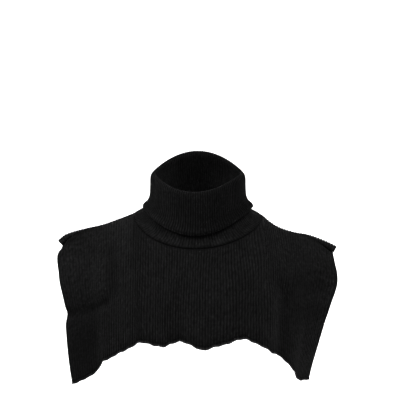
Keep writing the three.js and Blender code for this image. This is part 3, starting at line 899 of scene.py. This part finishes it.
def collar_painted_light(along, x):
    """Painted light and shade on the collar at its points, and how strongly its ribs' painted shade shows."""
    turned = smoothstep(along, *TURN_ZONE)
    painted_light = STAND_PAINTED_LIGHT + (TURN_DOWN_PAINTED_SHADE - STAND_PAINTED_LIGHT) * turned
    # Painted shade darkens the turn-down from its left side to its right.
    painted_light = painted_light * (1 - LEFT_TO_RIGHT_PAINTED_SHADE * turned * x / NECK_HALF_WIDTH)
    contrast = STAND_CONTRAST + (TURN_DOWN_CONTRAST - STAND_CONTRAST) * turned
    return painted_light, np.broadcast_to(contrast, x.shape)


def make_collar():
    """The collar: one tube from the neckline seam up, over its fold and down to its free edge."""
    columns = COLLAR_RIBS * COLLAR_SAMPLES
    angle = np.arange(columns) / columns * TAU
    along = row_places(COLLAR_LENGTH, COLLAR_ROWS, FREE_EDGE_STEPS)
    grid = collar_point(along[None, :], angle[:, None])
    normals = grid_normals(grid, True, 1)
    normals[:, 0] = neckline_frame(angle)[2]
    length = distances(grid, 1)
    to_edge = length[:, -1:] - length
    half = WALL_LEFT / 2 * edge_round(length) * edge_round(to_edge)
    courses = length / STITCH_HEIGHT
    ribs = np.broadcast_to(np.arange(columns)[:, None] / COLLAR_SAMPLES, length.shape)
    wave = knit_wave(ribs, courses, length, to_edge, 1.0, 1.0)
    # Painted light and shade on the collar, with painted shade along its neckline seam.
    painted_light, contrast = collar_painted_light(along, grid[..., 0])
    knit_uv = np.stack([ribs, courses], -1)
    painted_light_uv = np.stack([painted_light * seam_painted_shade(length), contrast], -1)
    return wall_mesh("collar_knit", grid, normals, half, wave, True, 1, knit_uv, painted_light_uv)


class NodeMaker:
    """Makes a material's nodes, and links each to what feeds it."""

    def __init__(self, name):
        self.material = bpy.data.materials.new(name)
        self.material.use_nodes = True
        self.nodes = self.material.node_tree.nodes
        self.links = self.material.node_tree.links
        self.shader = self.nodes["Principled BSDF"]

    def feed(self, socket, value):
        """Gives a socket a value, or links it to another node's output."""
        if isinstance(value, bpy.types.NodeSocket):
            self.links.new(value, socket)
        else:
            socket.default_value = value

    def add(self, kind, output, **inputs):
        """A node with its inputs fed by name, as its named output."""
        node = self.nodes.new(kind)
        for name, value in inputs.items():
            self.feed(node.inputs[name.replace("_", " ")], value)
        return node.outputs[output]

    def maths(self, operation, first, second=0.0):
        """One sum on one or two values."""
        node = self.nodes.new("ShaderNodeMath")
        node.operation = operation
        self.feed(node.inputs[0], first)
        self.feed(node.inputs[1], second)
        return node.outputs["Value"]

    def vector_maths(self, operation, vector, second, value):
        """One sum on a vector and the named or numbered second input."""
        node = self.nodes.new("ShaderNodeVectorMath")
        node.operation = operation
        self.feed(node.inputs[0], vector)
        self.feed(node.inputs[second], value)
        return node.outputs["Vector"]

    def uv(self, name):
        """The UV map of a name."""
        node = self.nodes.new("ShaderNodeUVMap")
        node.uv_map = name
        return node.outputs["UV"]

    def between(self, value, low, high, to_low, to_high):
        """Value from low to high becomes to_low to to_high, and stays there beyond."""
        return self.add(
            "ShaderNodeMapRange",
            "Result",
            Value=value,
            From_Min=low,
            From_Max=high,
            To_Min=to_low,
            To_Max=to_high,
        )

    def noise(self, vector, scale, detail):
        """A noise of the given scale and number of finer layers."""
        return self.add("ShaderNodeTexNoise", "Fac", Vector=vector, Scale=scale, Detail=detail)

    def mottle(self, vector, scale, shades):
        """A noise that wanders between two shades."""
        return self.between(self.noise(vector, scale, 2.0), *NOISE_SWING, *shades)


def stitch_legs(make, rib, course):
    """How far from its rib's middle a point lies, and the legs that lean from there in each stitch's V."""
    rib_place = make.maths("FRACT", make.maths("ADD", rib, 0.5))
    from_middle = make.maths("ABSOLUTE", make.maths("SUBTRACT", rib_place, 0.5))
    leaning = make.maths("SUBTRACT", course, make.maths("MULTIPLY", from_middle, LEG_LEAN))
    return from_middle, make.maths("SINE", make.maths("MULTIPLY", leaning, TAU))


def stitch_normal(make, legs, place):
    """The low relief of the stitches' legs and of the fuzz."""
    low_legs = make.maths("MULTIPLY", legs, LEGS_RELIEF)
    fuzz = make.maths("MULTIPLY", make.noise(place, FUZZ_SCALE, 3.0), FUZZ_RELIEF)
    height = make.maths("ADD", low_legs, fuzz)
    relief = {"Strength": RELIEF_STRENGTH, "Distance": RELIEF_DEPTH, "Height": height}
    return make.add("ShaderNodeBump", "Normal", **relief)


def hollow_shade(make):
    """Painted shade in the hollows between ribs, in the seams and in the folds, from how much light gets in
    there.
    """
    hollow = make.nodes.new("ShaderNodeAmbientOcclusion")
    hollow.samples = 6
    hollow.inputs["Distance"].default_value = HOLLOW_REACH
    return make.maths("POWER", hollow.outputs["AO"], HOLLOW_STRENGTH)


def knit_material():
    """Black rib knit: stitches along each rib, painted shade in its hollows, and short fuzz that lightens
    grazing edges.
    """
    make = NodeMaker("rib_knit")
    for name, value in KNIT_SURFACE.items():
        make.shader.inputs[name].default_value = value
    knit_uv = make.uv("Knit")
    knit = make.nodes.new("ShaderNodeSeparateXYZ")
    make.links.new(knit_uv, knit.inputs["Vector"])
    # The painted light and shade from its map, and how strongly the ribs' painted shade shows.
    painted_light = make.nodes.new("ShaderNodeSeparateXYZ")
    make.links.new(make.uv("Tone"), painted_light.inputs["Vector"])
    place = make.nodes.new("ShaderNodeTexCoord").outputs["Object"]
    from_middle, legs = stitch_legs(make, knit.outputs["X"], knit.outputs["Y"])
    make.links.new(stitch_normal(make, legs, place), make.shader.inputs["Normal"])

    # The ribs' gaps and the hollows get painted shade and the ribs' middles painted light, the map adds its
    # painted light and shade, and the knit is a little uneven.
    rib_light = make.between(from_middle, 0.1, 0.5, *RIB_LIGHT)
    rib_shade = make.maths("ADD", make.maths("MULTIPLY", rib_light, painted_light.outputs["Y"]), RIB_LEVEL)
    stitch_shade = make.between(legs, -1.0, 1.0, *STITCH_SHADE)
    along_ribs = make.vector_maths("MULTIPLY", knit_uv, 1, DASH_STRETCH)
    dashes = make.mottle(along_ribs, 1.0, DASH_SHADE)
    patches = make.mottle(place, PATCH_SCALE, PATCH_SHADE)
    specks = make.mottle(place, SPECK_SCALE, SPECK_SHADE)
    # The colour starts from the painted shade in the hollows.
    level = hollow_shade(make)
    for shade in (rib_shade, stitch_shade, dashes, patches, specks, painted_light.outputs["X"]):
        level = make.maths("MULTIPLY", level, shade)
    colour = make.vector_maths("SCALE", KNIT_BLACK, "Scale", level)
    make.links.new(colour, make.shader.inputs["Base Color"])
    return make.material


def floor_material():
    """A matt, pale floor."""
    material = bpy.data.materials.new("pale_floor")
    material.use_nodes = True
    shader = material.node_tree.nodes["Principled BSDF"]
    shader.inputs["Base Color"].default_value = FLOOR_WHITE
    shader.inputs["Roughness"].default_value = 0.9
    shader.inputs["Specular IOR Level"].default_value = 0.1
    return material


def make_floor():
    """A pale floor well below the hanging dickey, which curves up into a backdrop far behind it."""
    profile = [(FLOOR_NEAR, FLOOR_LEVEL), (FLOOR_FAR, FLOOR_LEVEL)]
    for step in range(1, BEND_STEPS + 1):
        turn = step / BEND_STEPS * math.pi / 2
        y = FLOOR_FAR + FLOOR_BEND * math.sin(turn)
        z = FLOOR_LEVEL + FLOOR_BEND * (1 - math.cos(turn))
        profile.append((y, z))
    profile.append((FLOOR_FAR + FLOOR_BEND, FLOOR_LEVEL + FLOOR_BEND + BACKDROP_RISE))
    points = [(side * FLOOR_HALF_WIDTH, y, z) for side in (-1, 1) for y, z in profile]
    count = len(profile)
    faces = [(k, k + count, k + count + 1, k + 1) for k in range(count - 1)]
    mesh = bpy.data.meshes.new("floor")
    mesh.from_pydata(points, [], faces)
    mesh.polygons.foreach_set("use_smooth", [True] * len(faces))
    mesh.materials.append(floor_material())
    floor = bpy.data.objects.new("floor", mesh)
    bpy.context.scene.collection.objects.link(floor)


def make_light(name, place, aim, size, power):
    """A round, soft lamp that faces its aim."""
    data = bpy.data.lights.new(name, "AREA")
    data.shape = "DISK"
    data.size = size
    data.energy = power
    light = bpy.data.objects.new(name, data)
    light.location = place
    light.rotation_euler = (Vector(aim) - light.location).to_track_quat("-Z", "Y").to_euler()
    bpy.context.scene.collection.objects.link(light)


def make_lights():
    """A bright, even studio: light from all round, two soft lamps above the front and one on the backdrop."""
    world = bpy.data.worlds.new("studio")
    world.use_nodes = True
    background = world.node_tree.nodes["Background"]
    background.inputs["Color"].default_value = (1.0, 1.0, 1.0, 1.0)
    background.inputs["Strength"].default_value = WORLD_LIGHT
    bpy.context.scene.world = world
    for name, place, aim, size, power in LAMPS:
        make_light(name, place, aim, size, power)


def dress(piece, node, material):
    """Gives a piece its material and puts it in the place of its solid."""
    piece.data.materials.append(material)
    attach(piece, "root")
    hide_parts(node)


def plain_colours():
    """The picture's colours are those of the scene, with no look laid over them."""
    view = bpy.context.scene.view_settings
    view.view_transform = "Standard"
    view.look = "None"
    view.exposure = 0.0
    view.gamma = 1.0


def main():
    """The camera, the studio, and the three knit pieces in their solids' places."""
    make_camera()
    make_lights()
    make_floor()
    knit = knit_material()
    front = make_bib("front_bib_knit", -1, FRONT_ROWS, FRONT_FOLDS, FRONT_SHADOWS)
    back = make_bib("back_bib_knit", 1, BACK_ROWS, BACK_FOLDS, ())
    collar = make_collar()
    dress(front, "front_bib", knit)
    dress(back, "back_bib", knit)
    dress(collar, "roll_collar", knit)
    plain_colours()


main()
